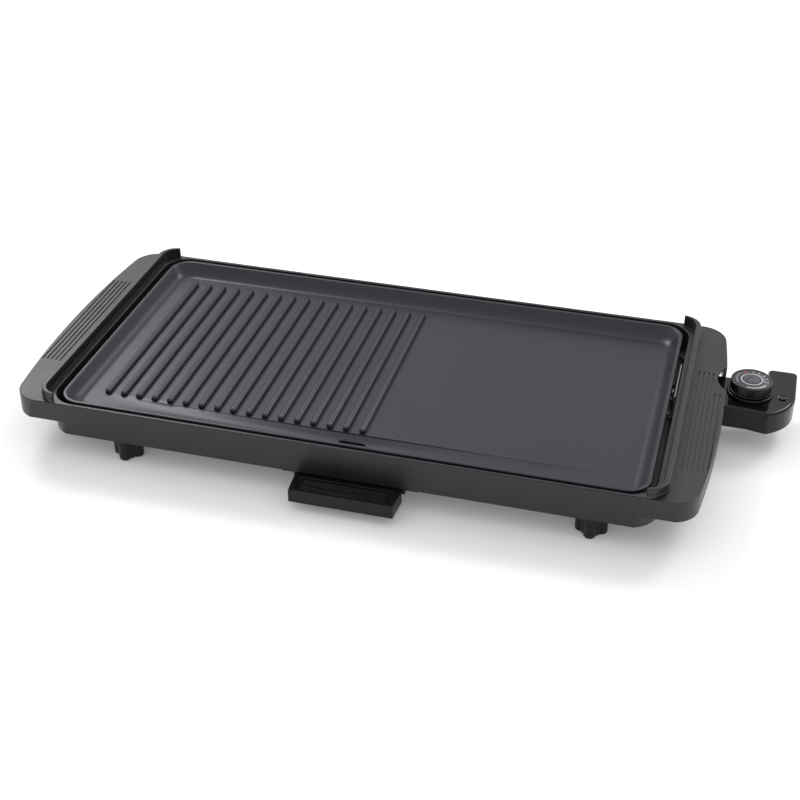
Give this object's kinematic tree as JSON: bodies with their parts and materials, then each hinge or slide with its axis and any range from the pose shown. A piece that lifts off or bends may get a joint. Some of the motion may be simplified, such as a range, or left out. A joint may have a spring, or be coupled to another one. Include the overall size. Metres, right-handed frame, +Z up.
{
  "type": "electric griddle",
  "caption": "Table-top electric griddle: half-ribbed lift-off plate in a moulded frame with end handles, feet, pull-out drip tray and plug-in dial control.",
  "frame": {"origin": "on the table, under the middle of the whole object's box with the control plugged in and the tray pushed in", "axes": "+X along the length towards the control, +Y towards the back, +Z up"},
  "size_m": [0.6374, 0.2958, 0.0615],
  "materials": {
    "frame_plastic": "satin dark grey moulded phenolic",
    "foot_plastic": "matte black moulded",
    "tray_plastic": "satin black moulded",
    "coated_aluminium": "dark grey non-stick coating on cast aluminium",
    "pan_steel": "bright pressed sheet",
    "element_steel": "heat-tinted tube",
    "bracket_steel": "zinc plated",
    "screw_steel": "zinc plated",
    "guard_steel": "dark heat-resistant coat",
    "ceramic_block": "unglazed",
    "brass_parts": "turned brass",
    "probe_steel": "polished stainless tube",
    "control_gloss": "glossy black moulded",
    "dial_gloss": "black moulded, fluted side",
    "dial_print": "printed disc",
    "carrier_resin": "brown moulded resin",
    "insulator_ceramic": "pressed ring",
    "copper_blade": "rolled strip",
    "silver_contact": "silver alloy button",
    "lens_red": "dark red translucent",
    "lamp_glass": "clear neon envelope",
    "rubber_black": "matte black"
  },
  "bodies": {
    "base": {"base_frame": "frame_plastic", "bottom_pan": "pan_steel", "pan_screws": "screw_steel", "foot_front_left": "foot_plastic", "foot_front_right": "foot_plastic", "foot_back_left": "foot_plastic", "foot_back_right": "foot_plastic", "foot_screws": "screw_steel", "heating_element": "element_steel", "element_bracket_1": "bracket_steel", "element_bracket_2": "bracket_steel", "element_bracket_3": "bracket_steel", "element_bracket_4": "bracket_steel", "bracket_screws": "screw_steel", "terminal_block": "ceramic_block", "terminal_pin_front": "brass_parts", "terminal_pin_back": "brass_parts", "terminal_guard": "guard_steel", "guard_screws": "screw_steel", "tray_rail_left": "tray_plastic", "tray_rail_right": "tray_plastic", "rail_screws": "screw_steel"},
    "plate": {"griddle_plate": "coated_aluminium", "sensor_guide": "bracket_steel", "guide_screws": "screw_steel"},
    "tray": {"drip_tray": "tray_plastic"},
    "control": {"housing_lower": "control_gloss", "housing_upper": "control_gloss", "housing_screws": "screw_steel", "socket_carrier": "carrier_resin", "socket_front": "brass_parts", "socket_back": "brass_parts", "sensor_probe": "probe_steel", "probe_ferrule": "brass_parts", "thermostat_frame": "bracket_steel", "contact_arm_lower": "copper_blade", "contact_arm_upper": "brass_parts", "stack_insulators": "insulator_ceramic", "contact_points": "silver_contact", "stack_rivet": "bracket_steel", "shaft_bush": "brass_parts", "indicator_lens": "lens_red", "neon_lamp": "lamp_glass", "cord_grommet": "rubber_black"},
    "knob": {"dial_knob": "dial_gloss", "dial_face": "dial_print", "dial_shaft": "probe_steel", "shaft_clip": "bracket_steel"}
  },
  "joints": [
    {"name": "plate_lift", "type": "slide", "parent": "base", "child": "plate", "axis": [0, 0, 1], "range_m": [0, 0.08]},
    {"name": "drip_tray_slide", "type": "slide", "parent": "base", "child": "tray", "axis": [0, -1, 0], "range_m": [0, 0.06]},
    {"name": "control_unplug", "type": "slide", "parent": "base", "child": "control", "axis": [1, 0, 0], "range_m": [0, 0.13]},
    {"name": "knob_turn", "type": "hinge", "parent": "control", "child": "knob", "pos_m": [0.28035, 0.06335, 0.05], "axis": [0, 0, 1], "range_deg": [-270, 0]}
  ]
}
